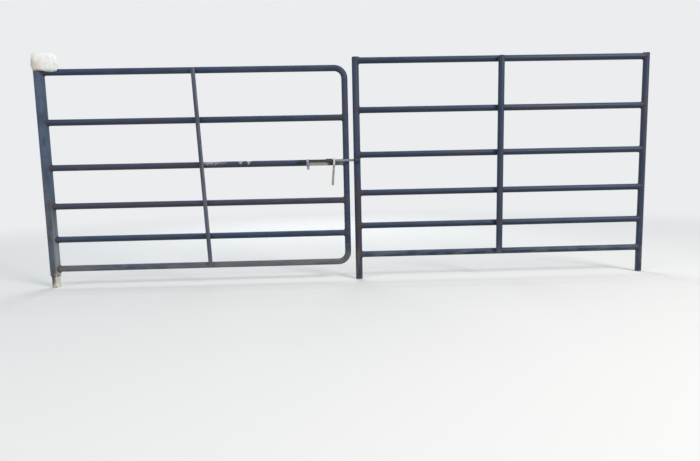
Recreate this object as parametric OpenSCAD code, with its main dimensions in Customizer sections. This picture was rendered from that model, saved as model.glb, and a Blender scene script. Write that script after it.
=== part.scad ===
// Steel tube gate leaf on a pivot post, with a slide bolt on its front that shoots into a keeper
// on a fixed six-rail side panel. Millimetres, +Z up, +X along the closed gate, +Y away from the
// approach side, origin under the pivot post's foot.

/* [Rails] */
// Outside diameter of every rail tube
rail_d = 38.1; // [30:0.1:44]
// Wall of the rail tubes
rail_wall = 2.3; // [1.6:0.1:4]
// Height of the leaf's bottom rail over the post's foot, to its axis
leaf_bottom_z = 115; // [85:1:200]
// Height of the rails, from the bottom one's axis to the top one's
rails_h = 1195; // [1100:5:1400]
// How much higher the side panel hangs than the leaf
panel_lift = 42; // [0:1:80]
// Space from the bottom rail to the second one, axis to axis
space_1 = 183; // [120:1:260]
// Space from the second rail to the third one
space_2 = 206; // [150:1:300]
// Space from the third rail to the fourth one, which carries the bolt
space_3 = 236; // [180:1:320]
// Space from the fourth rail to the fifth one
space_4 = 273; // [180:1:340]

/* [Leaf] */
// Width of the leaf from the pivot axis to the axis of its closing stile
leaf_w = 1833; // [1400:1:2400]
// Radius of the frame tube's bends, to the tube's axis
bend_r = 62; // [50:1:110]
// Outside diameter of the sleeve that is the leaf's hinge stile
sleeve_d = 60.3; // [56:0.1:76]
// Wall of the sleeve
sleeve_wall = 3.9; // [2.9:0.1:5]
// How far the sleeve runs past the top and the bottom rail tubes
sleeve_over = 8; // [4:1:30]
// Thickness of the caps that close the sleeve and the panel's stiles
cap_t = 4; // [2:0.5:8]
// Outside diameter of the leaf's brace
leaf_brace_d = 25.4; // [16:0.1:34]
// Wall of the leaf's brace
leaf_brace_wall = 2.6; // [1.6:0.1:4]
// Distance of the leaf's brace from the pivot axis, at the bottom rail
leaf_brace_x = 972; // [600:1:1300]
// How far the brace leans back towards the pivot at the top rail
leaf_brace_lean = 48; // [0:1:60]

/* [Pivot post] */
// Clearance between the post and the sleeve, all round
pivot_gap = 2.1; // [1:0.1:4]
// Wall of the post
post_wall = 3.7; // [2.6:0.1:6]
// Thickness of the feet that close the post and the panel's legs
foot_t = 6; // [3:0.5:12]
// Height of the collar that the sleeve turns on
collar_h = 12; // [6:1:25]

/* [Side panel] */
// Width of the panel, axis to axis of its stiles
panel_w = 1809; // [1400:1:2400]
// Clear gap between the leaf's closing stile and the panel
closing_gap = 28; // [16:1:60]
// Outside diameter of the panel's left stile, which carries the keeper
stile_d = 42.4; // [38.1:0.1:60.3]
// Outside diameter of the panel's right stile
far_stile_d = 38.1; // [30:0.1:48.3]
// Wall of the panel's stiles
stile_wall = 3.2; // [2:0.1:5]
// How far the stiles run past the top rail's tube, with their caps
stile_over = 1; // [0.5:0.5:30]
// Outside diameter of the panel's brace
panel_brace_d = 38.1; // [20:0.1:42]
// Wall of the panel's brace
panel_brace_wall = 2.6; // [1.6:0.1:4]
// Distance of the panel's brace from the left stile's axis, at the bottom rail
panel_brace_x = 886; // [500:1:1200]
// How far the brace leans to the right at the top rail
panel_brace_lean = 4; // [0:1:60]

/* [Slide bolt] */
// Diameter of the bolt
bolt_d = 16; // [12:0.1:20]
// Clearance between the bolt and its guides, all round
bolt_gap = 0.7; // [0.3:0.1:0.9]
// Height of the bolt's axis over the axis of the rail behind it
bolt_rise = 10; // [0:1:12]
// Clear space between the shot bolt and the front of the panel's stile
stile_clear = 5; // [4:0.5:8]
// Wall of the guides and the keeper round the bolt
guide_wall = 3.3; // [2.5:0.1:6]
// Length of the guide tube beside the handle
guide_len = 38; // [24:1:60]
// Space that the drawn bolt's handle keeps from the guide tube
guide_stop = 6; // [5:0.5:12]
// Width of the strap that clamps the tail guide on the rail
strap_w = 16; // [12:0.5:26]
// Thickness of the strap and its ears
strap_t = 4; // [2.5:0.5:6]
// Distance of the strap from the closing stile's axis
strap_back = 237; // [190:1:300]
// Length of the strap's clamping ears under the rail
ear_drop = 19; // [14:1:30]
// Space between the strap's ears
ear_slot = 3; // [1.5:0.5:6]
// Length of the bolt's tail past the middle of the strap
tail_len = 60; // [56:1:90]
// Space that the drawn bolt's tip keeps from the keeper
tip_gap = 6; // [5:1:14]
// Length of the keeper tube
keeper_len = 30; // [20:1:44]
// Clearance round the bolt in the keeper
keeper_gap = 3; // [1.5:0.1:3.4]
// Distance of the handle from the closing stile's axis
handle_back = 74; // [70:1:100]
// Diameter of the handle
handle_d = 14; // [10:0.1:16]
// Depth that the handle is let into the front of the bolt
handle_bite = 2; // [1:0.5:4]
// Length of the handle over the bolt's axis
handle_rise = 14; // [12:1:40]
// Length that the handle hangs under the bolt's axis
handle_len = 153; // [90:1:200]
// Slant of the handle, in degrees, with its end towards the pivot
handle_lean = 5; // [0:0.5:12]

/* [Corner wrap] */
// Width of the cloth bundle on the hinge corner
wrap_w = 154; // [120:1:190]
// Depth of the bundle
wrap_depth = 92; // [80:1:130]
// Height of the bundle over the top rail's axis
wrap_h = 114; // [90:1:150]
// How far the bundle hangs over the rail under its axis
wrap_drop = 6; // [2:1:14]
// How far the bundle bulges past the hinge stile
wrap_pad = 2.5; // [2:0.5:20]
// How far the bundle's top draws in on the right
wrap_lean = 8; // [0:1:60]
// Roundness of the bundle's right end
wrap_r = 22; // [12:1:26]
// Size of the bevel round its top over the stile
wrap_edge = 8; // [3:1:14]
// Clearance between the bundle and the steel under it
wrap_gap = 0.4; // [0.2:0.1:1]

/* [Hidden] */

// Gap at a welded or seated joint between two pieces
seat = 0.2;
// Length that a cut runs past the surface it cuts
cut = 1;

rail_r = rail_d / 2;
sleeve_r = sleeve_d / 2;
stile_r = stile_d / 2;
far_stile_r = far_stile_d / 2;
bolt_r = bolt_d / 2;
// Heights of the rails over the bottom one
rises = [
  0, space_1, space_1 + space_2, space_1 + space_2 + space_3,
  space_1 + space_2 + space_3 + space_4, rails_h
];
leaf_z = [for (rise = rises) leaf_bottom_z + rise];
panel_z = [for (z = leaf_z) z + panel_lift];
leaf_low = leaf_z[0];
leaf_high = leaf_bottom_z + rails_h;
panel_low = panel_z[0];
panel_high = leaf_high + panel_lift;

post_r = sleeve_r - sleeve_wall - pivot_gap;
sleeve_low = leaf_low - rail_r - sleeve_over;
sleeve_high = leaf_high + rail_r + sleeve_over;
post_high = sleeve_high - cap_t - seat;

bolt_rail_z = leaf_z[3];
guide_r = bolt_r + bolt_gap + guide_wall;
bolt_y = -(stile_r + stile_clear + bolt_r);
bolt_z = bolt_rail_z + bolt_rise;
panel_x = leaf_w + rail_r + closing_gap + stile_r;
far_x = panel_x + panel_w;
stile_high = panel_high + rail_r + stile_over;
keeper_r = bolt_r + keeper_gap;
keeper_x = panel_x - keeper_len / 2;
bolt_tip = keeper_x - tip_gap;
strap_x = leaf_w - strap_back;
bolt_tail = strap_x - tail_len;
handle_r = handle_d / 2;
handle_x = leaf_w - handle_back;
handle_y = bolt_y - bolt_r - handle_r + handle_bite;
guide_x = handle_x - handle_r - guide_stop - guide_len;

$fn = 48;

// Hollow tube along +Z
module tube(r, wall, z0, z1) {
  translate([0, 0, z0])
    difference() {
      cylinder(r = r, h = z1 - z0);
      translate([0, 0, -cut]) cylinder(r = r - wall, h = z1 - z0 + 2 * cut);
    }
}

// Solid rod along +X
module rod_x(r, x0, x1) {
  translate([x0, 0, 0]) rotate([0, 90, 0]) cylinder(r = r, h = x1 - x0);
}

// Rail tube along +X whose ends are coped round the upright tubes at x0 and x1
module coped_rail(x0, r0, x1, r1, z) {
  translate([0, 0, z])
    difference() {
      rod_x(rail_r, x0, x1);
      rod_x(rail_r - rail_wall, x0 - cut, x1 + cut);
      for (end = [[x0, r0], [x1, r1]])
        translate([end[0], 0, -rail_d]) cylinder(r = end[1] + seat, h = 2 * rail_d);
    }
}

module leaf_rail(z) {
  color("#34363b") coped_rail(0, sleeve_r, leaf_w, rail_r, z);
}

module panel_rail(z) {
  color("#34363b") coped_rail(panel_x, stile_r, far_x, far_stile_r, z);
}

module pivot_post() {
  color("#6a5a50") tube(post_r, post_wall, foot_t, post_high);
}

module pivot_post_foot() {
  color("#6a5a50") cylinder(r = post_r, h = foot_t);
}

// Ring welded round the post, which carries the turning sleeve
module pivot_collar() {
  color("#5a4a42")
    translate([0, 0, sleeve_low - seat - collar_h])
      difference() {
        cylinder(r = sleeve_r, h = collar_h);
        translate([0, 0, -cut]) cylinder(r = post_r + seat, h = collar_h + 2 * cut);
      }
}

module leaf_hinge_sleeve() {
  color("#2f3238") tube(sleeve_r, sleeve_wall, sleeve_low, sleeve_high);
}

module leaf_sleeve_cap() {
  color("#2f3238") translate([0, 0, sleeve_high]) cylinder(r = sleeve_r, h = cap_t);
}

// Solid form of the bent tube: top rail, closing stile and bottom rail in one
module frame_form(r) {
  for (z = [leaf_low, leaf_high]) translate([0, 0, z]) rod_x(r, 0, leaf_w - bend_r);
  translate([leaf_w, 0, leaf_low + bend_r]) cylinder(r = r, h = rails_h - 2 * bend_r);
  translate([leaf_w - bend_r, 0, leaf_high - bend_r]) rotate([90, 0, 0])
    rotate_extrude(angle = 90) translate([bend_r, 0]) circle(r = r);
  translate([leaf_w - bend_r, 0, leaf_low + bend_r]) rotate([-90, 0, 0])
    rotate_extrude(angle = 90) translate([bend_r, 0]) circle(r = r);
}

module leaf_frame_tube() {
  color("#34363b")
    difference() {
      frame_form(rail_r);
      frame_form(rail_r - rail_wall);
      translate([0, 0, sleeve_low]) cylinder(r = sleeve_r + seat, h = sleeve_high - sleeve_low);
    }
}

// Brace tube that stands on the front of the rails from the bottom one to the top one
module brace(r, wall, x, low, lean) {
  translate([x, -(rail_r + r + seat), low])
    rotate([0, -atan(lean / rails_h), 0]) tube(r, wall, -rail_r / 2, rails_h + rail_r / 2);
}

module leaf_brace() {
  color("#4a4a4c")
    brace(leaf_brace_d / 2, leaf_brace_wall, leaf_brace_x, leaf_low, leaf_brace_lean);
}

module panel_brace() {
  color("#34363b")
    brace(panel_brace_d / 2, panel_brace_wall, panel_x + panel_brace_x, panel_low, -panel_brace_lean);
}

// Rod along +X on the slide bolt's axis
module bolt_rod(r, x0, x1) {
  translate([0, bolt_y, bolt_z]) rod_x(r, x0, x1);
}

// Guide body round the bolt's axis, with a web back to the rail behind it
module guide_form(x0, x1) {
  bolt_rod(guide_r, x0, x1);
  translate([x0, bolt_y, bolt_z - guide_r / 2]) cube([x1 - x0, -bolt_y, guide_r]);
}

// What a guide on the rail leaves free: the bolt's bore and the rail itself
module guide_cuts(x0, x1) {
  bolt_rod(bolt_r + bolt_gap, x0 - cut, x1 + cut);
  translate([0, 0, bolt_rail_z]) rod_x(rail_r + seat, x0 - cut, x1 + cut);
}

// Split strap clamped round the rail by two ears, with the bolt's tail guide on its front
module bolt_guide_lug() {
  x0 = strap_x - strap_w / 2;
  x1 = strap_x + strap_w / 2;
  strap_r = rail_r + seat + strap_t;
  ears_low = bolt_rail_z - strap_r - ear_drop;
  ears_depth = ear_slot + 2 * strap_t;
  color("#a8a49c")
    difference() {
      union() {
        guide_form(x0, x1);
        translate([0, 0, bolt_rail_z]) rod_x(strap_r, x0, x1);
        translate([x0, -ears_depth / 2, ears_low]) cube([strap_w, ears_depth, bolt_rail_z - ears_low]);
      }
      guide_cuts(x0, x1);
      translate([x0 - cut, -ear_slot / 2, ears_low - cut])
        cube([strap_w + 2 * cut, ear_slot, bolt_rail_z - ears_low + cut]);
    }
}

// Guide tube welded on the front of the rail beside the handle, which stops against it
module bolt_guide_tube() {
  color("#3c3c3e")
    difference() {
      guide_form(guide_x, guide_x + guide_len);
      guide_cuts(guide_x, guide_x + guide_len);
    }
}

// Short tube on the front of the panel's stile, coped to it, that takes the bolt's tip
module bolt_keeper() {
  color("#3c3c3e")
    difference() {
      bolt_rod(keeper_r + guide_wall, keeper_x, keeper_x + keeper_len);
      bolt_rod(keeper_r, keeper_x - cut, keeper_x + keeper_len + cut);
      translate([panel_x, 0, bolt_z - stile_d]) cylinder(r = stile_r + seat, h = 2 * stile_d);
    }
}

// Cloth bundle pulled tight round the top of the hinge stile, hollowed for the tubes under it
module corner_wrap() {
  left_r = sleeve_r + wrap_pad;
  right = wrap_w - left_r - wrap_r;
  low = leaf_high - wrap_drop;
  high = leaf_high + wrap_h;
  half = wrap_depth / 2 - wrap_r;
  color("#d9cfb8")
    difference() {
      hull() {
        translate([0, 0, low]) cylinder(r = left_r, h = high - low - wrap_edge);
        translate([0, 0, low]) cylinder(r = left_r - wrap_edge, h = high - low);
        for (side = [-1, 1]) {
          translate([right, side * half, low + wrap_r]) sphere(r = wrap_r, $fn = 24);
          translate([right - wrap_lean, side * half / 2, high - wrap_r]) sphere(r = wrap_r, $fn = 24);
        }
      }
      translate([0, 0, leaf_high]) rod_x(rail_r + wrap_gap, 0, 2 * wrap_w);
      translate([0, 0, leaf_high - wrap_drop - cut])
        cylinder(r = sleeve_r + wrap_gap, h = sleeve_high + cap_t + wrap_gap - leaf_high + wrap_drop + cut);
    }
}

module latch_bolt() {
  tip_len = bolt_r / 2;
  color("#55555a") {
    bolt_rod(bolt_r, bolt_tail, bolt_tip - tip_len);
    translate([bolt_tip - tip_len, bolt_y, bolt_z]) rotate([0, 90, 0])
      cylinder(r1 = bolt_r, r2 = bolt_r / 2, h = tip_len);
  }
}

// Round-ended rod let into the front of the bolt, hanging down before the rail
module latch_handle() {
  low = handle_r - handle_len;
  high = handle_rise - handle_r;
  color("#a8a49c")
    difference() {
      translate([handle_x, handle_y, bolt_z]) rotate([0, handle_lean, 0]) {
        translate([0, 0, low]) cylinder(r = handle_r, h = high - low);
        for (end = [low, high]) translate([0, 0, end]) sphere(r = handle_r);
      }
      bolt_rod(bolt_r + seat, handle_x - handle_d, handle_x + handle_d);
    }
}

// Upright of the panel, from its foot to its cap
module stile(x, r) {
  translate([x, 0, 0]) tube(r, stile_wall, foot_t, stile_high - cap_t);
}

module panel_left_stile() {
  color("#3a3230") stile(panel_x, stile_r);
}

module panel_right_stile() {
  color("#34363b") stile(far_x, far_stile_r);
}

module stile_cap(x, r) {
  color("#34363b") translate([x, 0, stile_high - cap_t]) cylinder(r = r, h = cap_t);
}

module stile_foot(x, r) {
  color("#5a4a42") translate([x, 0, 0]) cylinder(r = r, h = foot_t);
}

pivot_post();
pivot_post_foot();
pivot_collar();
leaf_hinge_sleeve();
leaf_sleeve_cap();
leaf_frame_tube();
leaf_rail(leaf_z[1]);  // leaf_rail_2
leaf_rail(leaf_z[2]);  // leaf_rail_3
leaf_rail(leaf_z[3]);  // leaf_rail_4
leaf_rail(leaf_z[4]);  // leaf_rail_5
leaf_brace();
bolt_guide_lug();
bolt_guide_tube();
corner_wrap();
latch_bolt();
latch_handle();
panel_left_stile();
panel_right_stile();
stile_cap(panel_x, stile_r);  // panel_left_cap
stile_cap(far_x, far_stile_r);  // panel_right_cap
stile_foot(panel_x, stile_r);  // panel_left_foot
stile_foot(far_x, far_stile_r);  // panel_right_foot
panel_rail(panel_low);  // panel_bottom_rail
panel_rail(panel_z[1]);  // panel_rail_2
panel_rail(panel_z[2]);  // panel_rail_3
panel_rail(panel_z[3]);  // panel_rail_4
panel_rail(panel_z[4]);  // panel_rail_5
panel_rail(panel_high);  // panel_top_rail
panel_brace();
bolt_keeper();
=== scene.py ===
import math

import bmesh
import bpy
from mathutils import Matrix, Vector, noise


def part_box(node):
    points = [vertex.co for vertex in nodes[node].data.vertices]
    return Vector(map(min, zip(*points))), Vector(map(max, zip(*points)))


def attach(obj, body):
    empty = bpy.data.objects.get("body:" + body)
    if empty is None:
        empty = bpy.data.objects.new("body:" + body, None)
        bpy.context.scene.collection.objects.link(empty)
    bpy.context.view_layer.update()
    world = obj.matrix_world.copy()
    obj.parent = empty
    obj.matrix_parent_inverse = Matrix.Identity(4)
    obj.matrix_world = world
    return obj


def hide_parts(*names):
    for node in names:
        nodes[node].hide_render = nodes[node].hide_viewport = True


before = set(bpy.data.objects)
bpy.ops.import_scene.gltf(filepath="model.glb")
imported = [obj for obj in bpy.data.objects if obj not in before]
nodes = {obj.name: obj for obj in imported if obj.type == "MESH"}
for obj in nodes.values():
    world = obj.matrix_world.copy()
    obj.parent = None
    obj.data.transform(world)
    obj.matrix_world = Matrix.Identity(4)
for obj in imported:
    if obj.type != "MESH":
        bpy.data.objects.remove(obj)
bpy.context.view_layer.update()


# Camera at the place where the photograph was taken: low and close, near the middle of the two
# panels, turned, tipped down and rolled a little, with the wide lens of a telephone.
camera_place = (1.750, -3.264, 0.676)
camera_turn = math.radians(1.71)
camera_tip = math.radians(6.39)
camera_roll = math.radians(-1.25)
bpy.ops.object.select_all(action="DESELECT")
bpy.ops.object.camera_add(location=camera_place)
camera = bpy.context.object
camera.name = "camera"
aim = Matrix.Rotation(-camera_turn, 4, "Z") @ Matrix.Rotation(math.pi / 2 - camera_tip, 4, "X")
aim = aim @ Matrix.Rotation(camera_roll, 4, "Z")
camera.matrix_world = Matrix.Translation(camera_place) @ aim
camera.data.sensor_width = 36
camera.data.lens = 26.74
bpy.context.scene.camera = camera


# Studio: a pale floor that fades into a pale surround before its edge, under one broad key light
# from the right and the front, a weaker one from the left and one from behind, all soft.
class Signal:
    """A value or colour in a node tree. An operator between values adds its Math node."""

    def __init__(self, tree, socket=None):
        self.tree = tree
        self.socket = socket

    def node(self, kind, settings=None, inputs=None, out=0):
        """Adds a node of a kind, with its settings first and then its sockets' values or links."""
        made = self.tree.nodes.new("ShaderNode" + kind)
        for name, value in (settings or {}).items():
            setattr(made, name, value)
        for name, value in (inputs or {}).items():
            if isinstance(value, Signal):
                self.tree.links.new(value.socket, made.inputs[name])
            else:
                made.inputs[name].default_value = value
        return Signal(self.tree, made.outputs[out] if made.outputs else None)

    def maths(self, operation, *values):
        return self.node("Math", {"operation": operation}, dict(enumerate(values)))

    def __add__(self, other):
        return self.maths("ADD", self, other)

    def __radd__(self, other):
        return self.maths("ADD", other, self)

    def __sub__(self, other):
        return self.maths("SUBTRACT", self, other)

    def __rsub__(self, other):
        return self.maths("SUBTRACT", other, self)

    def __mul__(self, other):
        return self.maths("MULTIPLY", self, other)

    def __rmul__(self, other):
        return self.maths("MULTIPLY", other, self)

    def step(self, low, high):
        """Smooth step from 0 at low to 1 at high, or down where high is under low."""
        return self.node("MapRange", {"interpolation_type": "SMOOTHSTEP"},
                         {"Value": self, "From Min": low, "From Max": high})

    def mix(self, first, second):
        """Colour between two others, with this value as the share of the second."""
        return self.node("Mix", {"data_type": "RGBA"}, {0: self, 6: first, 7: second}, out=2)


def new_tree(holder):
    """Empties the node tree of a material or world and returns a signal to build on."""
    holder.use_nodes = True
    holder.node_tree.nodes.clear()
    return Signal(holder.node_tree)


gate_middle = (1.85, 0, 0)
aim_height = 0.6
floor_shade = (0.80, 0.79, 0.77, 1)
surround_shade = (0.93, 0.94, 0.96, 1)
fill_shade = (0.86, 0.93, 1.0, 1)
fill_strength = 0.55
surround_strength = 0.9
fade_start, fade_end = 2.3, 6.5
bpy.ops.object.select_all(action="DESELECT")
bpy.ops.mesh.primitive_circle_add(vertices=96, radius=fade_end + 1, fill_type="NGON",
                                  location=gate_middle)
floor = bpy.context.object
floor.name = "floor"
bpy.ops.object.transform_apply(location=True)
floor_finish = bpy.data.materials.new("pale_floor")
start = new_tree(floor_finish)
spot = start.node("TexCoord", out=3)
from_middle = start.node("VectorMath", {"operation": "SUBTRACT"}, {0: spot, 1: gate_middle})
distance = start.node("VectorMath", {"operation": "LENGTH"}, {0: from_middle}, out=1)
plain = start.node("BsdfDiffuse", None, {"Color": floor_shade})
clear = start.node("BsdfTransparent")
ending = start.node("MixShader", None, {0: distance.step(fade_start, fade_end), 1: plain, 2: clear})
start.node("OutputMaterial", None, {"Surface": ending})
floor.data.materials.append(floor_finish)

world = bpy.data.worlds.new("studio")
bpy.context.scene.world = world
start = new_tree(world)
camera_ray, glossy_ray, clear_ray = (start.node("LightPath", out=ray) for ray in (0, 3, 6))
shown = start.maths("MAXIMUM", camera_ray, start.maths("MAXIMUM", glossy_ray, clear_ray))
soft_fill = start.node("Background", None, {"Color": fill_shade, "Strength": fill_strength})
surround = start.node("Background", None, {"Color": surround_shade, "Strength": surround_strength})
sky = start.node("MixShader", None, {0: shown, 1: soft_fill, 2: surround})
start.node("OutputWorld", None, {"Surface": sky})

# Each lamp's place, width in metres, power in watts and tone
lamps = {
    "key": ((6.2, -5.0, 4.6), 2.4, 380, (1.0, 0.96, 0.90)),
    "fill": ((-3.6, -4.6, 3.0), 3.0, 90, (0.90, 0.95, 1.0)),
    "rim": ((1.4, 4.2, 3.8), 3.2, 130, (0.92, 0.96, 1.0)),
}
for lamp_name, (place, size, power, tone) in lamps.items():
    bpy.ops.object.light_add(type="AREA", location=place)
    lamp = bpy.context.object
    lamp.name = lamp_name
    lamp.data.size = size
    lamp.data.energy = power
    lamp.data.color = tone
    facing = Vector((gate_middle[0], gate_middle[1], aim_height)) - Vector(place)
    lamp.rotation_euler = facing.to_track_quat("-Z", "Y").to_euler()


# Rails and stiles: drawn steel tube dipped in blue-black paint, which has weathered to a chalky
# blue-grey film; on faces that look up that pale colour is laid on more thickly as painted sky sheen. It
# rusts dark brown at the joints and near the ground, and carries pale road dust. Some finishes also
# carry painted sunlight, set out below.
def middle_of(node):
    low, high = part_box(node)
    return (low + high) / 2


def radius_of(node):
    low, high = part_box(node)
    return min(high.x - low.x, high.y - low.y, high.z - low.z) / 2


rail_radius = radius_of("leaf_rail_2")
leaf_rail_names = ["leaf_rail_2", "leaf_rail_3", "leaf_rail_4", "leaf_rail_5"]
leaf_low, leaf_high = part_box("leaf_frame_tube")
leaf_heights = [leaf_low.z + rail_radius]
leaf_heights += [middle_of(rail).z for rail in leaf_rail_names]
leaf_heights += [leaf_high.z - rail_radius]
panel_rail_names = ["panel_bottom_rail", "panel_rail_2", "panel_rail_3", "panel_rail_4", "panel_rail_5",
                    "panel_top_rail"]
panel_heights = [middle_of(rail).z for rail in panel_rail_names]
pivot_x = 0
closing_x = leaf_high.x - rail_radius
panel_left_x = middle_of("panel_left_stile").x
panel_right_x = middle_of("panel_right_stile").x


def scaled(start, spot, scale, seed):
    """Object coordinates stretched per axis and moved to a place of their own."""
    return start.node("Mapping", None, {
        "Vector": spot, "Scale": scale, "Location": (seed, 1.7 * seed, 0)})


def grain(start, spot, size, detail=2.0, roughness=0.5):
    """Noise from 0 to 1 whose blotches are about that many metres across."""
    return start.node("TexNoise", None, {"Vector": spot, "Scale": 1 / size, "Detail": detail,
                                         "Roughness": roughness})


def near(signal, places, reach):
    """1 at each place on an axis and 0 past the reach, smoothly."""
    total = 0
    for place in places:
        total = total + signal.maths("ABSOLUTE", signal - place).step(reach, 0)
    return total


def weathered_paint(name, along, joints, seed, rust=0.4, brown=0.3, low_tone=None, low_from=None,
                    sun_patches=None, sunlit_tan=None, sunlit_underside=None, sunlit_side_wear=None, sunlit_strip=None,
                    chalky=0.12, pale=(0.040, 0.088, 0.190, 1)):
    """Old dark paint on a tube that runs along an axis, rusting at its joints.

    rust, brown (thinned paint), chalky (a film of the pale colour) and sunlit_side_wear (painted
    sunlight on the side that faces +X, drawn as bare steel) say how much there is, from 0 to 1. low_tone
    takes over between the heights in low_from, and sunlit_strip gives the heights of a pale +X side,
    painted sunlight with some dust. sun_patches lists patches of painted sunlight drawn as bare steel,
    sunlit_tan is a stretch of dust and painted sunlight, and sunlit_underside one whose underside is
    lightened by painted sunlight and dried earth: each a place along the tube and a reach.
    """
    sound_paint = (0.013, 0.023, 0.047, 1)
    thinned_paint = (0.036, 0.028, 0.034, 1)
    rust_stain = (0.046, 0.032, 0.032, 1)
    rust_dark = (0.052, 0.030, 0.024, 1)
    rust_light = (0.110, 0.062, 0.044, 1)
    bare_steel = (0.340, 0.345, 0.350, 1)
    sun_patch_bright = (0.560, 0.590, 0.570, 1)
    sunlit_dust_tone = (0.220, 0.250, 0.280, 1)
    dust_and_sunlit_tone = (0.300, 0.295, 0.275, 1)
    sunlit_earth_tone = (0.470, 0.450, 0.420, 1)
    blotch_size, mottle_size, speck_size, fine_size = 0.09, 0.022, 0.006, 0.0035
    drawn_out = 0.22
    dust = 0.5
    joint_reach = 0.05
    splash_height = 0.34
    scratch_along, scratch_across = 6, 260

    finish = bpy.data.materials.new(name)
    start = new_tree(finish)
    spot = start.node("TexCoord", out=3)
    moved = scaled(start, spot, (1, 1, 1), seed)
    drawn = scaled(start, spot, (drawn_out, 1, 1) if along == "x" else (1, 1, drawn_out), seed)
    place_x = start.node("SeparateXYZ", None, {0: spot}, out=0)
    place_z = start.node("SeparateXYZ", None, {0: spot}, out=2)
    run = place_x if along == "x" else place_z
    facing = start.node("NewGeometry", out=1)
    side_x = start.node("SeparateXYZ", None, {0: facing}, out=0)
    up = start.node("SeparateXYZ", None, {0: facing}, out=2)

    blotch = grain(start, drawn, blotch_size, 3)
    mottle = grain(start, drawn, mottle_size, 4, 0.6)
    fine = grain(start, moved, fine_size, 3, 0.6)
    speck = grain(start, moved, speck_size, 5, 0.65)
    joint = near(run, joints, joint_reach)

    # Paint itself: blue-black where it is sound, brown-black where it has thinned
    tired = blotch.step(0.62 - brown * 0.5, 0.80 - brown * 0.4) * 0.8 + mottle.step(0.55, 0.75) * 0.2
    paint = tired.mix(sound_paint, thinned_paint)
    # Pale film: chalky weathering all over, with painted sky sheen added on the faces that look up
    chalk_and_sky_sheen = (up.step(-0.3, 0.9) * 0.6 + chalky) * mottle.step(0.20, 0.70)
    paint = chalk_and_sky_sheen.mix(paint, pale)

    # Rust: thin stains under small chips, sparse along the tube and closer together at the welds
    likely = joint * 0.07 + rust * 0.06
    if low_tone:
        lower = place_z.step(low_from[1], low_from[0])
        paint = (lower * (blotch.step(0.36, 0.60) * 0.6 + mottle * 0.4 + 0.1)).mix(paint, low_tone)
        likely = likely + lower * 0.05
    chip_field = mottle * 0.5 + speck * 0.5 + likely
    chips = chip_field.step(0.640, 0.665)
    stain = chip_field.step(0.54, 0.66)
    rust_shade = fine.step(0.35, 0.65).mix(rust_dark, rust_light)
    colour = (stain * 0.40).mix(paint, rust_stain)
    colour = (chips * 0.85).mix(colour, rust_shade)

    # Rubbing: thin scratches through the paint. The patches and the paled +X side added to them are
    # painted sunlight, drawn as bare steel
    along_x = (scratch_along, scratch_across, scratch_across)
    scratch_run = scaled(start, spot, along_x if along == "x" else along_x[::-1], seed + 3)
    scratch = start.node("TexNoise", None, {"Vector": scratch_run, "Scale": 1.0, "Detail": 2.0})
    wear_and_sunlight = scratch.step(0.70, 0.76) * mottle.step(0.42, 0.60) * 0.5
    # Patches of painted sunlight, drawn as bare steel
    if sun_patches:
        patches = 0
        for place, reach in sun_patches:
            patches = patches + near(run, [place], reach)
        patches = (patches * 0.7 + up * 0.4 + mottle * 1.2 + speck * 1.6).step(1.98, 2.26)
        wear_and_sunlight = wear_and_sunlight + patches
    # Painted sunlight on the +X side, drawn as bare steel
    if sunlit_side_wear:
        wear_and_sunlight = wear_and_sunlight + side_x.step(0.1, 0.8) * sunlit_side_wear * (mottle * 0.6 + scratch * 0.4).step(0.36, 0.60)
    wear_and_sunlight = start.maths("MINIMUM", wear_and_sunlight, 1.0)
    colour = (wear_and_sunlight * 0.8).mix(colour, bare_steel)
    # Brighter painted sunlight inside the patches
    if sun_patches:
        colour = (patches * 0.3).mix(colour, sun_patch_bright)

    # Dust lies on what faces up and clings in streaks near the ground; the pale film on the +X side is
    # painted sunlight with some dust
    settled = up.step(0.30, 0.95) * dust * speck.step(0.30, 0.62) * 0.25
    splashed = place_z.step(splash_height, 0.0) * mottle.step(0.40, 0.66) * dust * 0.8
    dust_and_sun_tan = settled + splashed
    # Painted sunlight on the +X side, with some dust
    if sunlit_strip:
        painted_sunlight = side_x.step(0.30, 0.75) * place_z.step(sunlit_strip[1], sunlit_strip[0])
        film = (mottle * 0.6 + speck * 0.4).step(0.30, 0.50)
        colour = (painted_sunlight * film * 0.8).mix(colour, sunlit_dust_tone)
    # A stretch of dust with painted sunlight
    if sunlit_tan:
        dust_and_sun_tan = dust_and_sun_tan + near(run, [sunlit_tan[0]], sunlit_tan[1]) * speck.step(0.28, 0.52) * 0.8
    dust_and_sun_tan = start.maths("MINIMUM", dust_and_sun_tan, 1.0)
    colour = (dust_and_sun_tan * 0.75).mix(colour, dust_and_sunlit_tone)
    # Underside lightened with painted sunlight and dried earth
    if sunlit_underside:
        sunlit_low_side = up.step(0.30, 0.0) * near(run, [sunlit_underside[0]], sunlit_underside[1]).step(0.0, 0.4)
        colour = (sunlit_low_side * speck.step(0.20, 0.48) * 0.9).mix(colour, sunlit_earth_tone)

    rough = 0.38 + chalk_and_sky_sheen * 0.30 + stain * 0.20 + dust_and_sun_tan * 0.25 + fine * 0.10 - wear_and_sunlight * 0.10
    height = chips * -0.5 + stain * speck * 0.4 + fine * 0.12 + mottle * 0.10 + dust_and_sun_tan * fine * 0.4
    bump = start.node("Bump", None, {"Height": height, "Strength": 0.5, "Distance": 0.0010})
    shader = start.node("BsdfPrincipled", None, {
        "Base Color": colour, "Roughness": rough, "Metallic": wear_and_sunlight * 0.6, "Normal": bump,
        "Specular IOR Level": 0.3})
    start.node("OutputMaterial", None, {"Surface": shader})
    return finish


def dress(names, finish):
    """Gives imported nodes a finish."""
    for node_name in names:
        mesh = nodes[node_name].data
        mesh.materials.clear()
        mesh.materials.append(finish)


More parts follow.
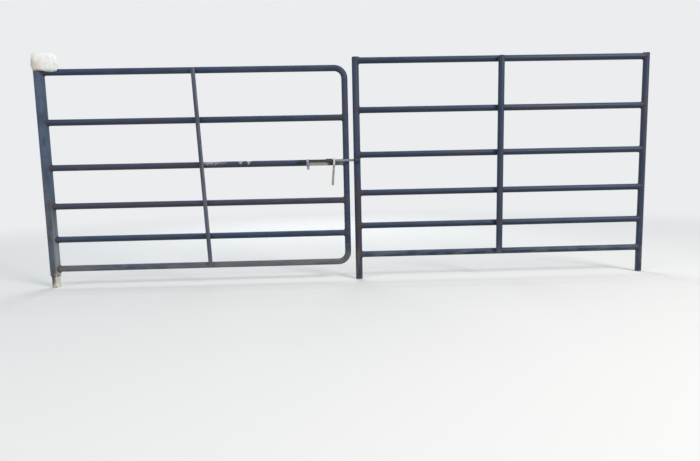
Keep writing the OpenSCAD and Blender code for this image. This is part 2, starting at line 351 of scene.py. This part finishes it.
sleeve_half, closing_half, panel_half = 0.03, 0.02, 0.024
leaf_ends = [pivot_x + sleeve_half, closing_x - closing_half]
panel_ends = [panel_left_x + panel_half, panel_right_x - panel_half]
handle_low, handle_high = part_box("latch_handle")
brace_cross = middle_of("leaf_brace").x
bottom_rail = leaf_heights[0]
red_brown = (0.030, 0.028, 0.050, 1)
mauve = (0.085, 0.098, 0.115, 1)
dusty_grey = (0.105, 0.105, 0.120, 1)
thin_paint = (0.075, 0.092, 0.128, 1)
sky_grey = (0.078, 0.118, 0.185, 1)
# Patches of painted sunlight beside the brace on the fourth rail, drawn as bare steel
sun_patch_places = [(brace_cross + 0.055, 0.14), (brace_cross + 0.235, 0.024), (brace_cross + 0.285, 0.026)]
# A stretch of dust and painted sunlight past the handle
sunlit_dusty_place = (handle_high.x + 0.03, 0.05)
# A stretch before the handle whose underside is lightened with painted sunlight and dried earth
sunlit_under_place = (handle_low.x - 0.080, 0.085)
dress(["leaf_frame_tube"], weathered_paint(
    "paint_leaf_frame", "x", leaf_ends, 1, rust=0.2, chalky=0.25,
    low_tone=dusty_grey, low_from=(bottom_rail, bottom_rail + 0.09)))
dress(["leaf_rail_2"], weathered_paint("paint_leaf_rail_2", "x", leaf_ends, 2, rust=0.4, brown=0.4))
dress(["leaf_rail_3"], weathered_paint("paint_leaf_rail_3", "x", leaf_ends, 3, rust=0.9, brown=1.0))
dress(["leaf_rail_4"], weathered_paint(
    "paint_leaf_rail_4", "x", leaf_ends, 4, rust=0.5, brown=0.6,
    sun_patches=sun_patch_places, sunlit_tan=sunlit_dusty_place, sunlit_underside=sunlit_under_place))
dress(["leaf_rail_5"], weathered_paint("paint_leaf_rail_5", "x", leaf_ends, 5, rust=0.3, brown=0.4))
# The panel's rails have no chalky film, so they come out darker than the leaf's: painted shade
for number, rail_name in enumerate(panel_rail_names):
    dress([rail_name], weathered_paint(
        f"paint_{rail_name}", "x", panel_ends, 11 + number, rust=0.25, brown=0.2, chalky=0.0))
dress(["panel_right_stile", "panel_right_cap"], weathered_paint(
    "paint_right_stile", "z", panel_heights, 20, rust=0.3, low_tone=red_brown, low_from=(0.0, 0.2)))
dress(["panel_left_stile", "panel_left_cap"], weathered_paint(
    "paint_left_stile", "z", panel_heights, 21, rust=0.5, brown=0.4, chalky=0.30,
    low_tone=red_brown, low_from=(0.50, 0.70)))
# The sleeve's +X side carries a pale film of painted sunlight with some dust
dress(["leaf_hinge_sleeve", "leaf_sleeve_cap"], weathered_paint(
    "paint_sleeve", "z", leaf_heights, 22, rust=0.3, brown=0.3, chalky=0.85, pale=sky_grey,
    low_tone=mauve, low_from=(0.40, 0.90), sunlit_strip=(0.20, 0.60)))
dress(["panel_brace"], weathered_paint("paint_panel_brace", "z", panel_heights, 23, rust=0.25))
# The brace's +X side is paled with painted sunlight, drawn as bare steel
dress(["leaf_brace"], weathered_paint(
    "paint_leaf_brace", "z", leaf_heights, 24, rust=0.2, sunlit_side_wear=0.4,
    low_tone=thin_paint, low_from=(1.6, 1.7)))


# Foot of the pivot post, its collar and the panel's feet: heavy steel that stands in wet grit, rusted
# through its paint, with pale dried mud near the ground and painted sunlight on the +X side in the same
# pale colour.
def rusted_steel(name, seed, sun_side_share, mud_low):
    """Heavy rust with some paint left on it, under dried earth close to the ground, and paled on the +X
    side by painted sunlight in the same earthy colour.
    """
    rust_dark = (0.050, 0.032, 0.025, 1)
    rust_light = (0.130, 0.085, 0.058, 1)
    rust_scale = (0.200, 0.135, 0.090, 1)
    old_paint = (0.028, 0.028, 0.034, 1)
    earth_and_sunlit_tone = (0.720, 0.700, 0.610, 1)
    patch_size, scale_size, pit_scale = 0.030, 0.006, 420.0
    mud_height = 0.05

    finish = bpy.data.materials.new(name)
    start = new_tree(finish)
    spot = start.node("TexCoord", out=3)
    moved = scaled(start, spot, (1, 1, 0.5), seed)
    side_x = start.node("SeparateXYZ", None, {0: start.node("NewGeometry", out=1)}, out=0)
    place_z = start.node("SeparateXYZ", None, {0: spot}, out=2)
    patch = grain(start, moved, patch_size, 4, 0.6)
    scale_field = grain(start, moved, scale_size, 5, 0.7)
    pits = start.node("TexVoronoi", {"feature": "F1"}, {"Vector": moved, "Scale": pit_scale})
    rust = patch.step(0.35, 0.65).mix(rust_dark, rust_light)
    rust = (scale_field.step(0.45, 0.70) * 0.6).mix(rust, rust_scale)
    left_paint = patch.step(0.42, 0.30) * 0.8
    colour = left_paint.mix(rust, old_paint)
    # On the +X side the pale earthy colour is painted sunlight; near the ground it is dried earth
    mud_and_sunlight = side_x.step(-0.2, 0.7) * sun_side_share * (patch * 0.5 + scale_field * 0.5).step(0.34, 0.56)
    mud_and_sunlight = mud_and_sunlight + place_z.step(mud_height, 0.0) * scale_field.step(0.38, 0.60) * mud_low
    mud_and_sunlight = start.maths("MINIMUM", mud_and_sunlight, 1.0)
    colour = (mud_and_sunlight * 0.9).mix(colour, earth_and_sunlit_tone)
    height = scale_field * 0.8 + pits * 0.4 + mud_and_sunlight * scale_field * 1.2 - left_paint * 0.2
    bump = start.node("Bump", None, {"Height": height, "Strength": 0.7, "Distance": 0.0015})
    shader = start.node("BsdfPrincipled", None, {
        "Base Color": colour, "Roughness": 0.72 + mud_and_sunlight * 0.2 - left_paint * 0.25, "Normal": bump})
    start.node("OutputMaterial", None, {"Surface": shader})
    return finish


# The pivot's +X side is paled strongly with painted sunlight, the feet a little
dress(["pivot_post", "pivot_post_foot", "pivot_collar"], rusted_steel("rust_pivot", 31, 0.9, 0.7))
dress(["panel_left_foot", "panel_right_foot"], rusted_steel("rust_feet", 32, 0.25, 0.15))


# Slide bolt and what it runs in: plain round bar in a clamped strap, a short tube and a keeper. The bar
# is black with grime up to the handle and bright past it, partly rubbed and partly painted sunlight; the
# handle's top is kept bright as painted sunlight, and faces that look up are darkened with painted
# shade. Strap and handle are dull zinc.
def rubbed_steel(name, seed, dark, bright, grime_and_shade_tone, grime_and_shade_share, clean_and_sunlit=None):
    """Bare or zinced steel under soiling that is darker on faces that look up as painted shade; past a
    place on an axis, where one is given, it thins to bright steel, partly scuffed bare and partly
    painted sunlight.
    """
    rust_tone = (0.095, 0.055, 0.040, 1)
    cloud_size, fine_size, spangle_scale = 0.011, 0.002, 420.0
    score_along, score_across = 14, 700

    finish = bpy.data.materials.new(name)
    start = new_tree(finish)
    spot = start.node("TexCoord", out=3)
    moved = scaled(start, spot, (1, 1, 1), seed)
    up = start.node("SeparateXYZ", None, {0: start.node("NewGeometry", out=1)}, out=2)
    spangle = start.node("TexVoronoi", {"feature": "F1"}, {
        "Vector": moved, "Scale": spangle_scale}, out=1)
    flake = start.node("SeparateXYZ", None, {0: spangle}, out=0)
    cloud = grain(start, moved, cloud_size, 4, 0.6)
    fine = grain(start, moved, fine_size, 2)
    score_run = scaled(start, spot, (score_along, score_across, score_across), seed)
    score = start.node("TexNoise", None, {"Vector": score_run, "Scale": 1.0, "Detail": 2.0})
    metal = (cloud * 0.94 + flake * 0.06).step(0.25, 0.75).mix(dark, bright)
    # Grime in clouds, and painted shade darkening the faces that look up
    grime_and_top_shade = cloud.step(0.15, 0.60) * grime_and_shade_share + up.step(0.2, 0.9) * grime_and_shade_share * 0.3
    # Past the given place it thins out: scuffed bare, and painted sunlight
    if clean_and_sunlit:
        axis, soiled_and_shaded_to, sunlit_by = clean_and_sunlit
        run = start.node("SeparateXYZ", None, {0: spot}, out=axis)
        grime_and_top_shade = grime_and_top_shade * (run.step(sunlit_by, soiled_and_shaded_to) * 0.9 + 0.1)
    grime_and_top_shade = start.maths("MINIMUM", grime_and_top_shade, 1.0)
    colour = grime_and_top_shade.mix(metal, grime_and_shade_tone)
    rust = cloud.step(0.62, 0.72) * 0.4
    colour = rust.mix(colour, rust_tone)
    height = score * 0.5 + fine * 0.3 + rust * fine * 0.8
    bump = start.node("Bump", None, {"Height": height, "Strength": 0.4, "Distance": 0.0006})
    shader = start.node("BsdfPrincipled", None, {
        "Base Color": colour, "Metallic": 0.75 - grime_and_top_shade * 0.60 - rust * 0.1,
        "Roughness": 0.36 + cloud * 0.20 + grime_and_top_shade * 0.25 + rust * 0.15, "Normal": bump})
    start.node("OutputMaterial", None, {"Surface": shader})
    return finish


# Grime tones, which also carry painted shade on faces that look up
soot_and_shade = (0.026, 0.026, 0.030, 1)
dirt_and_shade_tone = (0.260, 0.230, 0.195, 1)
bolt_middle = middle_of("latch_bolt")
# Past these places the bar's end and the handle's top are bright: scuffed, and painted sunlight
bar_sunlit_end = (0, handle_high.x - 0.012, handle_high.x)
handle_sunlit_top = (2, bolt_middle.z - 0.035, bolt_middle.z - 0.015)
bar_steel = rubbed_steel(
    "bar_bolt", 41, (0.17, 0.20, 0.26, 1), (0.30, 0.35, 0.44, 1), soot_and_shade, 1.3, bar_sunlit_end)
guide_steel = rubbed_steel("bar_guide", 42, (0.05, 0.05, 0.06, 1), (0.12, 0.13, 0.15, 1), soot_and_shade, 0.8)
handle_zinc = rubbed_steel(
    "bar_handle", 43, (0.44, 0.43, 0.46, 1), (0.66, 0.64, 0.67, 1), dirt_and_shade_tone, 1.0, handle_sunlit_top)
strap_zinc = rubbed_steel(
    "zinc_strap", 44, (0.24, 0.27, 0.37, 1), (0.42, 0.46, 0.58, 1), dirt_and_shade_tone, 0.15)
dress(["latch_bolt"], bar_steel)
dress(["bolt_guide_tube", "bolt_keeper"], guide_steel)
dress(["latch_handle"], handle_zinc)
dress(["bolt_guide_lug"], strap_zinc)


# Welds of the rails: each tube end is coped to its stile and run round with one hand-laid bead, as
# overlapping drops. A bead is one ring bent over the stile, copied to every joint of that stile.
bead = 0.0036
ripple = 0.20


def weld_finish():
    """Material of every weld: the same paint over the bead, rusting in its hollows."""
    finish = bpy.data.materials.new("weld_beads")
    start = new_tree(finish)
    moved = scaled(start, start.node("TexCoord", out=3), (1, 1, 1), 51)
    cloud = grain(start, moved, 0.012, 4, 0.6)
    fine = grain(start, moved, 0.0025, 4, 0.6)
    weld_dark = (0.028, 0.036, 0.056, 1)
    weld_brown = (0.062, 0.040, 0.036, 1)
    weld_rust = (0.120, 0.072, 0.052, 1)
    colour = cloud.step(0.40, 0.60).mix(weld_dark, weld_brown)
    colour = (fine.step(0.50, 0.72) * 0.5).mix(colour, weld_rust)
    bump = start.node("Bump", None, {"Height": fine, "Strength": 0.5, "Distance": 0.0008})
    shader = start.node("BsdfPrincipled", None, {
        "Base Color": colour, "Roughness": 0.50 + cloud.step(0.40, 0.60) * 0.3, "Normal": bump})
    start.node("OutputMaterial", None, {"Surface": shader})
    return finish


weld_paint = weld_finish()


def pick(mesh_object, wanted):
    """Selects, in edit mode, only the vertices that a test of their place accepts."""
    mesh = bmesh.from_edit_mesh(mesh_object.data)
    for vertex in mesh.verts:
        vertex.select_set(wanted(vertex.co))
    mesh.select_flush_mode()
    bmesh.update_edit_mesh(mesh_object.data)


def ring_bead(name, ring_radius, turned, post_radius=None, thick=bead):
    """Rippled weld ring about an axis, bent over a stile along Z where it has a post radius."""
    segments = 64
    jitter = 0.10
    bpy.ops.object.select_all(action="DESELECT")
    bpy.ops.mesh.primitive_torus_add(major_radius=ring_radius, minor_radius=thick,
                                     major_segments=segments, minor_segments=10)
    ring = bpy.context.object
    ring.name = name
    bpy.ops.object.mode_set(mode="EDIT")
    bpy.ops.mesh.select_mode(type="VERT")
    step = 2 * math.pi / segments
    pick(ring, lambda at: round(math.atan2(at.y, at.x) / step) % 2 == 0)
    bpy.ops.transform.shrink_fatten(value=thick * ripple)
    bpy.ops.mesh.select_all(action="SELECT")
    bpy.ops.transform.vertex_random(offset=thick * jitter, seed=int(ring_radius * 1e5))
    bpy.ops.object.mode_set(mode="OBJECT")
    ring.rotation_euler = turned
    bpy.ops.object.transform_apply(rotation=True)
    if post_radius:
        least_seat = 0.25 * post_radius
        slice_reach = 0.45 * step
        bpy.ops.object.mode_set(mode="EDIT")
        for slice_number in range(segments):
            angle = slice_number * step
            pick(ring, lambda at: abs(math.remainder(
                math.atan2(at.z, at.y) - angle, 2 * math.pi)) < slice_reach)
            across = ring_radius * math.cos(angle)
            seat = math.sqrt(max(post_radius ** 2 - across ** 2, least_seat ** 2))
            bpy.ops.transform.translate(value=(seat, 0, 0))
        bpy.ops.object.mode_set(mode="OBJECT")
    bpy.ops.object.shade_smooth()
    return ring


def joined_copies(source, name, places, body, mirrored=False):
    """Copies of one modelled piece at several places, joined into one piece that rides a body."""
    copies = []
    for place in places:
        copy = source.copy()
        copy.data = source.data.copy()
        bpy.context.scene.collection.objects.link(copy)
        if mirrored:
            copy.data.transform(Matrix.Rotation(math.pi, 4, "Z"))
        copy.data.transform(Matrix.Translation(place))
        copies.append(copy)
    bpy.ops.object.select_all(action="DESELECT")
    for copy in copies:
        copy.select_set(True)
    bpy.context.view_layer.objects.active = copies[0]
    if len(copies) > 1:
        bpy.ops.object.join()
    whole = bpy.context.object
    whole.name = name
    whole.data.materials.clear()
    whole.data.materials.append(weld_paint)
    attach(whole, body)


quarter = math.radians(90)
across_rail = (0, quarter, 0)
bead_radius = rail_radius + 0.0004
stile_welds = [
    ("welds_hinge_sleeve", radius_of("leaf_hinge_sleeve"), pivot_x, leaf_heights, "leaf", False),
    ("welds_closing_stile", rail_radius, closing_x, leaf_heights[1:-1], "leaf", True),
    ("welds_panel_left", radius_of("panel_left_stile"), panel_left_x, panel_heights, "root", False),
    ("welds_panel_right", radius_of("panel_right_stile"), panel_right_x, panel_heights, "root", True),
]
for weld_name, stile_radius, stile_x, heights, body, mirrored in stile_welds:
    stile_bead = ring_bead(weld_name + "_ring", bead_radius, across_rail, stile_radius)
    places = [(stile_x, 0, height) for height in heights]
    joined_copies(stile_bead, weld_name, places, body, mirrored)
    bpy.data.objects.remove(stile_bead)


# Welds of the braces: the braces only touch the fronts of the rails, so each crossing has a short
# lumpy bead down both of its sides.
def side_bead(name, length):
    """Short upright bead with a rippled skin, centred on the origin."""
    drop = length / 7
    rippled_half = length * 0.47
    depth_share = 1.15
    swell_share = 0.22
    jitter_share = 0.12
    bpy.ops.object.select_all(action="DESELECT")
    bpy.ops.mesh.primitive_uv_sphere_add(segments=16, ring_count=14, radius=bead)
    lump = bpy.context.object
    lump.name = name
    bpy.ops.object.mode_set(mode="EDIT")
    bpy.ops.mesh.select_all(action="SELECT")
    bpy.ops.transform.resize(value=(1.0, depth_share, length / (2 * bead)))
    pick(lump, lambda at: round(at.z / drop) % 2 == 0 and abs(at.z) < rippled_half)
    bpy.ops.transform.shrink_fatten(value=bead * swell_share)
    bpy.ops.mesh.select_all(action="SELECT")
    bpy.ops.transform.vertex_random(offset=bead * jitter_share, seed=7)
    bpy.ops.object.mode_set(mode="OBJECT")
    bpy.ops.object.shade_smooth()
    return lump


def brace_beads(name, brace, heights, body):
    """Beads at both sides of a brace, which may lean, where it crosses each rail."""
    bead_length = 0.017
    end_slice = 0.02
    side_share = 0.62
    bead_front = -rail_radius - 0.0022
    low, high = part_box(brace)
    line = [vertex.co for vertex in nodes[brace].data.vertices]
    foot = [at for at in line if at.z < low.z + end_slice]
    head = [at for at in line if at.z > high.z - end_slice]
    foot_x = sum(at.x for at in foot) / len(foot)
    head_x = sum(at.x for at in head) / len(head)
    half = (high.y - low.y) / 2
    lump = side_bead(name + "_bead", bead_length)
    places = []
    for height in heights:
        share = (height - low.z) / (high.z - low.z)
        brace_x = foot_x + (head_x - foot_x) * share
        for side in (-1, 1):
            places.append((brace_x + side * half * side_share, bead_front, height))
    joined_copies(lump, name, places, body)
    bpy.data.objects.remove(lump)


brace_beads("welds_leaf_brace", "leaf_brace", leaf_heights, "leaf")
brace_beads("welds_panel_brace", "panel_brace", panel_heights, "root")


# Other welds: a ring under the collar holds it on the post and one closes each stile's cap. The
# handle is rooted on the bolt with a saddle of weld, and the guide tube and keeper by short beads.
def standing_ring(name, ring_radius, place, body):
    """One level weld ring at a place."""
    ring = ring_bead(name + "_ring", ring_radius, (0, 0, 0))
    joined_copies(ring, name, [place], body)
    bpy.data.objects.remove(ring)


def lying_beads(name, length, places, body):
    """Short beads along X at some places."""
    lump = side_bead(name + "_bead", length)
    lump.data.transform(Matrix.Rotation(quarter, 4, "Y"))
    joined_copies(lump, name, places, body)
    bpy.data.objects.remove(lump)


off_steel = 0.0008
below_collar = 0.0012
collar_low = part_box("pivot_collar")[0].z
collar_ring = radius_of("pivot_post") + off_steel
standing_ring("weld_collar", collar_ring, (pivot_x, 0, collar_low - below_collar), "root")
inside_rim = bead * 1.25
below_rim = bead * 0.7
for side, stile_x in (("left", panel_left_x), ("right", panel_right_x)):
    cap_low, cap_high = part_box(f"panel_{side}_cap")
    cap_ring = (cap_high.x - cap_low.x) / 2 - inside_rim
    ring_place = (stile_x, 0, cap_high.z - below_rim)
    standing_ring(f"weld_{side}_cap", cap_ring, ring_place, "root")

# The saddle is a ring turned to lie on the front of the bolt, round the spot where the handle crosses it
saddle_ring = 0.0068
saddle_bead = 0.0020
onto_front = Matrix(((0, 0, 1), (-1, 0, 0), (0, -1, 0))).to_4x4()
handle_root = (handle_high.x - (handle_high.y - handle_low.y) / 2, bolt_middle.y, bolt_middle.z)
saddle = ring_bead("handle_saddle", saddle_ring, across_rail, radius_of("latch_bolt"), thick=saddle_bead)
saddle.data.transform(onto_front)
joined_copies(saddle, "weld_handle", [handle_root], "latch")
bpy.data.objects.remove(saddle)

# The guide's web is welded to the fourth rail along its upper and lower edges, the keeper to the stile
rail_z = leaf_heights[3]
guide_low, guide_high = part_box("bolt_guide_tube")
guide_x = (guide_low.x + guide_high.x) / 2
guide_end = 0.003
guide_bead_length = guide_high.x - guide_low.x - 2 * guide_end
web_half = (guide_high.z - guide_low.z) / 4
web_gap = 0.001
weld_line = rail_radius + 0.0018
guide_places = []
for web_edge in (bolt_middle.z + web_half + web_gap, bolt_middle.z - web_half - web_gap):
    depth = math.sqrt(weld_line ** 2 - (web_edge - rail_z) ** 2)
    guide_places.append((guide_x, -depth, web_edge))
lying_beads("weld_guide", guide_bead_length, guide_places, "leaf")

keeper_bead_length = 0.018
keeper_gap = 0.009
stile_front = radius_of("panel_left_stile") + off_steel
keeper_places = [(panel_left_x, -stile_front, bolt_middle.z + gap) for gap in (-keeper_gap, keeper_gap)]
lying_beads("weld_keeper", keeper_bead_length, keeper_places, "root")


# Pinch bolt of the strap: a small zinc hexagon bolt through the two ears under the rail, with a
# washer under its head and a nut on the far side. It pulls the strap tight round the rail.
strap_low, strap_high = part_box("bolt_guide_lug")
ear_x = (strap_low.x + strap_high.x) / 2
ear_edge = 0.009
ear_z = strap_low.z + ear_edge
ear_half = 0.0055
hexagon = 0.0058
washer_radius = 0.0062
washer_thick = 0.0012
head_thick = 0.0040
shank_radius = 0.0030
shank_spare = 0.0120
shank_length = 2 * ear_half + shank_spare
shank_middle = 0.0050
nut_thick = 0.0048


def turned_part(name, sides, radius, thick, middle_y, eased=0.0006):
    """Round or six-sided disc on the pinch bolt's axis, with its outer edges eased."""
    bpy.ops.object.select_all(action="DESELECT")
    bpy.ops.mesh.primitive_cylinder_add(vertices=sides, radius=radius, depth=thick,
                                        location=(ear_x, middle_y, ear_z), rotation=(quarter, 0, 0))
    part = bpy.context.object
    part.name = name
    bpy.ops.object.transform_apply(location=True, rotation=True)
    modifier = part.modifiers.new("eased", "BEVEL")
    modifier.width = eased
    modifier.segments = 3
    modifier.limit_method = "ANGLE"
    bpy.ops.object.modifier_apply(modifier="eased")
    bpy.ops.object.shade_smooth_by_angle(angle=math.radians(35))
    return part


pinch_parts = [
    turned_part("pinch_washer", 32, washer_radius, washer_thick, -ear_half - washer_thick / 2, 0.0003),
    turned_part("pinch_head", 6, hexagon, head_thick, -ear_half - washer_thick - head_thick / 2),
    turned_part("pinch_shank", 24, shank_radius, shank_length, shank_middle),
    turned_part("pinch_nut", 6, hexagon, nut_thick, ear_half + nut_thick / 2),
]
bpy.ops.object.select_all(action="DESELECT")
for part in pinch_parts:
    part.select_set(True)
bpy.context.view_layer.objects.active = pinch_parts[0]
bpy.ops.object.join()
pinch = bpy.context.object
pinch.name = "strap_pinch_bolt"
pinch.data.materials.clear()
pinch.data.materials.append(strap_zinc)
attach(pinch, "leaf")


# Bundle on the hinge corner: a cream cotton cloth, folded thick and pulled down over the stile and the
# end of the top rail, and creased where it is gathered. Its colour carries painted light: whiter above
# as painted light, beige on the left as soil with painted shade, a painted shadow of a fold down the
# left side, and painted shade along the hem.
wrap_low, wrap_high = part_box("corner_wrap")
wrap_middle = (wrap_low + wrap_high) / 2
swell = 0.005
near_side = swell + 0.001
top_share, left_share = 0.75, 0.80
lean = 0.008
hanging_corner = (0.012, 0, -0.008)
cloth_grid = 0.0042
bpy.ops.object.select_all(action="DESELECT")
bpy.ops.mesh.primitive_cube_add(size=1, location=wrap_middle, scale=(
    wrap_high.x - wrap_low.x - 2 * swell, wrap_high.y - wrap_low.y - 2 * swell,
    wrap_high.z - wrap_low.z - 2 * swell))
bundle = bpy.context.object
bundle.name = "corner_cloth"
bpy.ops.object.transform_apply(location=True, rotation=True, scale=True)
bpy.ops.object.mode_set(mode="EDIT")
bpy.ops.mesh.select_mode(type="VERT")
bpy.ops.mesh.select_all(action="SELECT")
bpy.ops.mesh.subdivide(number_cuts=3)
pick(bundle, lambda at: at.z > wrap_high.z - near_side)
bpy.ops.transform.resize(value=(1, top_share, 1), center_override=wrap_middle)
pick(bundle, lambda at: at.x < wrap_low.x + near_side)
bpy.ops.transform.resize(value=(1, left_share, 1), center_override=wrap_middle)
pick(bundle, lambda at: at.x > wrap_high.x - near_side and at.z > wrap_middle.z)
bpy.ops.transform.translate(value=(-lean, 0, 0))
pick(bundle, lambda at: at.x > wrap_high.x - near_side and at.z < wrap_low.z + near_side)
bpy.ops.transform.translate(value=hanging_corner)
bpy.ops.object.mode_set(mode="OBJECT")
rounding = (("SUBSURF", {"levels": 2, "render_levels": 2}), ("REMESH", {"voxel_size": cloth_grid}))
for kind, settings in rounding:
    modifier = bundle.modifiers.new(kind.lower(), kind)
    for setting, value in settings.items():
        setattr(modifier, setting, value)
    bpy.ops.object.modifier_apply(modifier=modifier.name)

# Folds: ridges that fan up from where it is drawn tight on the stile, and smaller creases across them
gather = Vector((wrap_low.x + 0.01, wrap_low.y, wrap_low.z + 0.01))
gather_reach = 0.05
depth_lean = 0.4
ridge_count = 5.0
ridge_height = 0.0055
bend_fineness = 14
bend_amount = 2.2
crease_fineness = 38
crease_start = Vector((3, 1, 2))
crease_height = 0.0024
drawn_in = 0.0035
for vertex in bundle.data.vertices:
    arm = vertex.co - gather
    fan = math.atan2(arm.z, arm.x + depth_lean * arm.y) * ridge_count
    bend = noise.noise(vertex.co * bend_fineness) * bend_amount
    ridge = 1 - abs(math.sin(fan + bend))
    crease = 1 - abs(noise.noise(vertex.co * crease_fineness + crease_start)) * 2
    reach = min(1, arm.length / gather_reach)
    fold = ridge_height * ridge ** 3 * reach + crease_height * crease ** 4 - drawn_in
    vertex.co += vertex.normal * fold

# A short cloth run lets the folds settle, and no point of it may move far or leave the bundle's room
rest_places = [vertex.co.copy() for vertex in bundle.data.vertices]
cloth_moments = 20
bpy.ops.object.modifier_add(type="CLOTH")
cloth = bundle.modifiers["Cloth"]
cloth.settings.quality = 8
cloth.settings.mass = 0.25
cloth.settings.tension_stiffness = 25
cloth.settings.compression_stiffness = 25
cloth.settings.shear_stiffness = 8
cloth.settings.bending_stiffness = 0.4
cloth.settings.shrink_min = -0.16
cloth.settings.use_pressure = True
cloth.settings.uniform_pressure_force = 4
cloth.settings.effector_weights.gravity = 0
cloth.collision_settings.use_collision = False
cloth.collision_settings.use_self_collision = True
cloth.collision_settings.self_distance_min = 0.002
for moment in range(1, cloth_moments + 1):
    bpy.context.scene.frame_set(moment)
bpy.ops.object.modifier_apply(modifier="Cloth")
bpy.context.scene.frame_set(1)
most_moved = 0.008
proud = 0.003
for vertex, rest in zip(bundle.data.vertices, rest_places):
    shift = vertex.co - rest
    if shift.length > most_moved:
        vertex.co = rest + shift * (most_moved / shift.length)
    for axis in range(3):
        vertex.co[axis] = max(wrap_low[axis] - proud, min(wrap_high[axis] + proud, vertex.co[axis]))

# Drawn snug to the sleeve's left side, clear of its skin all round, and turned in under the hem
sleeve_radius = radius_of("leaf_hinge_sleeve")
top_gap = 0.002
sleeve_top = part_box("leaf_sleeve_cap")[1].z + top_gap
side_gap = 0.003
hem_height = 0.004
hem_fineness = 45
hem_waviness = 0.003
turn_height = 0.005
tucked = 0.005
skin_gap = 0.0015
inner_reach = 0.014
snug = (sleeve_radius + side_gap) / max(pivot_x - vertex.co.x for vertex in bundle.data.vertices)
for vertex in bundle.data.vertices:
    if vertex.co.x < pivot_x:
        vertex.co.x = pivot_x + (vertex.co.x - pivot_x) * snug
    hem = wrap_low.z + hem_height + noise.noise(vertex.co * hem_fineness) * hem_waviness
    turned_in = max(0, min(1, (vertex.co.z - hem) / turn_height))
    eased = turned_in * turned_in * (3 - 2 * turned_in)
    tight = sleeve_radius - tucked + (tucked + skin_gap) * eased
    from_pivot = Vector((vertex.co.x - pivot_x, vertex.co.y, 0))
    if vertex.co.z < sleeve_top and tight - inner_reach < from_pivot.length < tight:
        vertex.co += from_pivot.normalized() * (tight - from_pivot.length)
finer = bundle.modifiers.new("finer", "SUBSURF")
finer.levels = 1
finer.render_levels = 1
bpy.ops.object.modifier_apply(modifier="finer")
bpy.ops.object.shade_smooth()

cotton_shade = (0.76, 0.75, 0.70, 1)
top_light_shade = (0.93, 0.93, 0.91, 1)
soil_and_shade_tone = (0.60, 0.51, 0.44, 1)
fold_shadow_tone = (0.350, 0.330, 0.315, 1)
hem_shade_tone = (0.330, 0.340, 0.330, 1)
thread_tone = (0.50, 0.47, 0.43, 1)
threads_per_metre = 1 / 0.0011
# Beige on the left: soil with painted shade
soil_shade_full, soil_shade_end = wrap_low.x + 0.030, wrap_low.x + 0.105
# Heights between which the cloth turns whiter as painted light on its top
top_light_start, top_light_full = wrap_low.z + 0.030, wrap_high.z - 0.020
# Place and size of the painted shadow of a fold down the left side
fold_shadow_x, fold_shadow_width = wrap_low.x + 0.016, 0.024
fold_shadow_z, fold_shadow_height = wrap_low.z + 0.062, 0.045
# Height up to which painted shade lies along the hem
hem_shade_end = wrap_low.z + 0.030
cotton = bpy.data.materials.new("cream_cotton")
start = new_tree(cotton)
spot = start.node("TexCoord", out=3)
moved = scaled(start, spot, (1, 1, 1), 61)
place_x = start.node("SeparateXYZ", None, {0: spot}, out=0)
place_z = start.node("SeparateXYZ", None, {0: spot}, out=2)
cloud = grain(start, moved, 0.030, 3, 0.55)
fine = grain(start, moved, 0.004, 4, 0.6)
warp = start.maths("SINE", place_x * (threads_per_metre * math.pi))
weft = start.maths("SINE", place_z * (threads_per_metre * math.pi))
weave = warp * weft
# Left side beige: soil with painted shade
soil_and_left_shade = place_x.step(soil_shade_end, soil_shade_full) * cloud.step(0.10, 0.45)
# Painted light: whiter towards the top
painted_top_light = place_z.step(top_light_start, top_light_full)
colour = (painted_top_light * 0.7 + cloud * 0.3).mix(cotton_shade, top_light_shade)
colour = (soil_and_left_shade * (1 - painted_top_light * 0.7)).mix(colour, soil_and_shade_tone)
# Painted shadow of a fold down the left side
painted_fold_shadow = near(place_x, [fold_shadow_x], fold_shadow_width) * near(place_z, [fold_shadow_z], fold_shadow_height)
colour = (painted_fold_shadow * (cloud * 0.5 + fine * 0.5).step(0.20, 0.75)).mix(colour, fold_shadow_tone)
# Painted shade along the hem
painted_hem_shade = place_z.step(hem_shade_end, wrap_low.z) * cloud.step(0.20, 0.50) * 0.75
colour = painted_hem_shade.mix(colour, hem_shade_tone)
colour = (weave.step(-0.2, 1.0) * 0.08).mix(colour, thread_tone)
bump = start.node("Bump", None, {
    "Height": weave * 0.5 + fine * 0.7, "Strength": 0.35, "Distance": 0.0008})
shader = start.node("BsdfPrincipled", None, {
    "Base Color": colour, "Roughness": 0.88, "Normal": bump, "Sheen Weight": 0.25,
    "Specular IOR Level": 0.25})
start.node("OutputMaterial", None, {"Surface": shader})
bundle.data.materials.clear()
bundle.data.materials.append(cotton)
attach(bundle, "leaf")
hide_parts("corner_wrap")


bpy.context.scene.view_settings.view_transform = "Standard"
